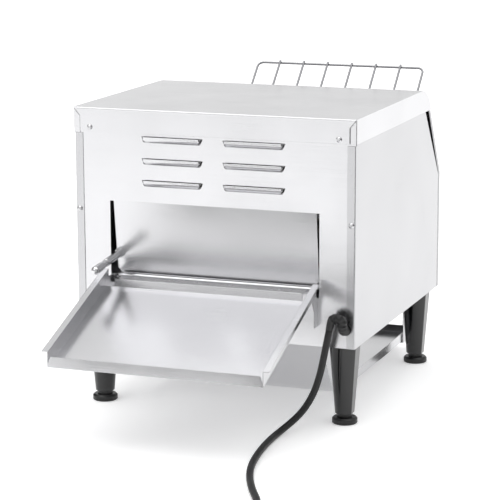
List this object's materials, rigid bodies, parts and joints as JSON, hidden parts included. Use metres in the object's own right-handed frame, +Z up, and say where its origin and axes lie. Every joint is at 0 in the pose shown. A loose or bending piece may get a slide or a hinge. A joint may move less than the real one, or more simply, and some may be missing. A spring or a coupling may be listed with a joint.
{
  "type": "conveyor toaster",
  "caption": "Counter-top conveyor toaster in stainless sheet: wire feed rack, wire belt between heater tubes, louvred rear with a swinging deflector, hooked rear tray and lower front tray.",
  "frame": {"origin": "centre of the footprint without the free cord, on the plane under the feet", "axes": "+Y towards the rear tray, -Y towards the operator, the feed rack and the controls, +X to the right of the operator standing in front, +Z up"},
  "size_m": [0.3742, 0.9007, 0.3985],
  "materials": {
    "stainless_sheet": "bright brushed stainless sheet",
    "polished_rod": "polished stainless rod and wire",
    "belt_steel": "plain steel wire and strip",
    "zinc_steel": "zinc-plated steel",
    "quartz": "frosted quartz",
    "ceramic": "glazed ceramic",
    "bronze": "sintered bronze",
    "motor_paint": "satin black paint",
    "black_gloss": "glossy black moulding",
    "black_matte": "matte black moulding",
    "cord_rubber": "smooth black rubber sheath",
    "board_green": "solder mask on glass fibre",
    "lamp_amber": "clear amber lens",
    "wire_sleeve": "silicone sleeving",
    "terminal_white": "porcelain white moulding"
  },
  "bodies": {
    "machine": {"base_pan": "zinc_steel", "rear_panel": "stainless_sheet", "left_side_panel": "stainless_sheet", "right_side_panel": "stainless_sheet", "top_cover": "stainless_sheet", "front_panel": "stainless_sheet", "left_inner_wall": "stainless_sheet", "right_inner_wall": "stainless_sheet", "upper_reflector": "stainless_sheet", "lower_reflector": "stainless_sheet", "crumb_plate": "stainless_sheet", "infeed_chute": "stainless_sheet", "heater_tubes": "quartz", "heater_caps": "ceramic", "conveyor_belt": "belt_steel", "shaft_bushes": "bronze", "drive_chain": "belt_steel", "gear_motor": "motor_paint", "motor_bracket": "zinc_steel", "fan_housing": "black_matte", "terminal_block": "terminal_white", "control_board": "board_green", "wiring_loom": "wire_sleeve", "speed_control": "black_matte", "heat_switch": "black_matte", "power_switch": "black_matte", "pilot_lamps": "lamp_amber", "wire_rack": "polished_rod", "deflector_rod": "polished_rod", "tray_hangers": "stainless_sheet", "rear_left_leg": "black_gloss", "rear_right_leg": "black_gloss", "front_left_leg": "black_gloss", "front_right_leg": "black_gloss", "case_screws": "polished_rod", "cable_gland": "black_matte", "cord_run": "cord_rubber", "cord_coil": "cord_rubber", "plug": "cord_rubber"},
    "deflector": {"deflector_plate": "stainless_sheet", "deflector_handle": "polished_rod", "handle_nut": "polished_rod"},
    "rear_tray": {"rear_tray": "stainless_sheet"},
    "front_tray": {"front_tray": "stainless_sheet"},
    "rear_belt_shaft": {"rear_shaft": "polished_rod", "rear_wheels": "belt_steel", "driven_sprocket": "belt_steel"},
    "front_belt_shaft": {"front_shaft": "polished_rod", "front_wheels": "belt_steel"},
    "motor_shaft": {"motor_sprocket": "belt_steel"},
    "fan_rotor": {"fan_rotor": "black_matte"},
    "speed_knob": {"speed_knob": "black_matte", "speed_spindle": "polished_rod"},
    "heat_knob": {"heat_knob": "black_matte", "heat_spindle": "polished_rod"},
    "power_rocker": {"power_rocker": "black_matte"},
    "rear_left_foot": {"rear_left_foot": "black_matte"},
    "rear_right_foot": {"rear_right_foot": "black_matte"},
    "front_left_foot": {"front_left_foot": "black_matte"},
    "front_right_foot": {"front_right_foot": "black_matte"}
  },
  "joints": [
    {"name": "rear_shaft_turn", "type": "hinge", "parent": "machine", "child": "rear_belt_shaft", "pos_m": [-0.027, 0.00245, 0.24], "axis": [1, 0, 0], "continuous": true},
    {"name": "front_shaft_turn", "type": "hinge", "parent": "machine", "child": "front_belt_shaft", "pos_m": [-0.027, -0.18355, 0.24], "axis": [1, 0, 0], "continuous": true},
    {"name": "motor_shaft_turn", "type": "hinge", "parent": "machine", "child": "motor_shaft", "pos_m": [0.107, -0.07555, 0.16], "axis": [1, 0, 0], "continuous": true},
    {"name": "fan_turn", "type": "hinge", "parent": "machine", "child": "fan_rotor", "pos_m": [0.141, -0.18555, 0.112], "axis": [0, 0, 1], "continuous": true},
    {"name": "speed_turn", "type": "hinge", "parent": "machine", "child": "speed_knob", "pos_m": [0.141, -0.27555, 0.21799], "axis": [0, 1, 0], "range_deg": [0, 270]},
    {"name": "heat_turn", "type": "hinge", "parent": "machine", "child": "heat_knob", "pos_m": [0.141, -0.27555, 0.16806], "axis": [0, 1, 0], "range_deg": [0, 270]},
    {"name": "power_tip", "type": "hinge", "parent": "machine", "child": "power_rocker", "pos_m": [0.141, -0.25955, 0.12605], "axis": [1, 0, 0], "range_deg": [-18, 0]},
    {"name": "deflector_swing", "type": "hinge", "parent": "machine", "child": "deflector", "pos_m": [0, 0.10045, 0.168], "axis": [1, 0, 0], "range_deg": [0, 40]},
    {"name": "rear_tray_tilt", "type": "hinge", "parent": "machine", "child": "rear_tray", "pos_m": [0, 0.11345, 0.162], "axis": [1, 0, 0], "range_deg": [0, 15]},
    {"name": "front_tray_pull", "type": "slide", "parent": "machine", "child": "front_tray", "axis": [0, -1, 0], "range_m": [0, 0.07]},
    {"name": "rear_left_foot_thread", "type": "slide", "parent": "machine", "child": "rear_left_foot", "axis": [0, 0, -1], "range_m": [0, 0.012]},
    {"name": "front_left_foot_thread", "type": "slide", "parent": "machine", "child": "front_left_foot", "axis": [0, 0, -1], "range_m": [0, 0.012]},
    {"name": "rear_right_foot_thread", "type": "slide", "parent": "machine", "child": "rear_right_foot", "axis": [0, 0, -1], "range_m": [0, 0.012]},
    {"name": "front_right_foot_thread", "type": "slide", "parent": "machine", "child": "front_right_foot", "axis": [0, 0, -1], "range_m": [0, 0.012]}
  ],
  "couplings": [
    {"joint": "front_shaft_turn", "follows": "rear_shaft_turn", "ratio": 1},
    {"joint": "motor_shaft_turn", "follows": "rear_shaft_turn", "ratio": 2}
  ]
}
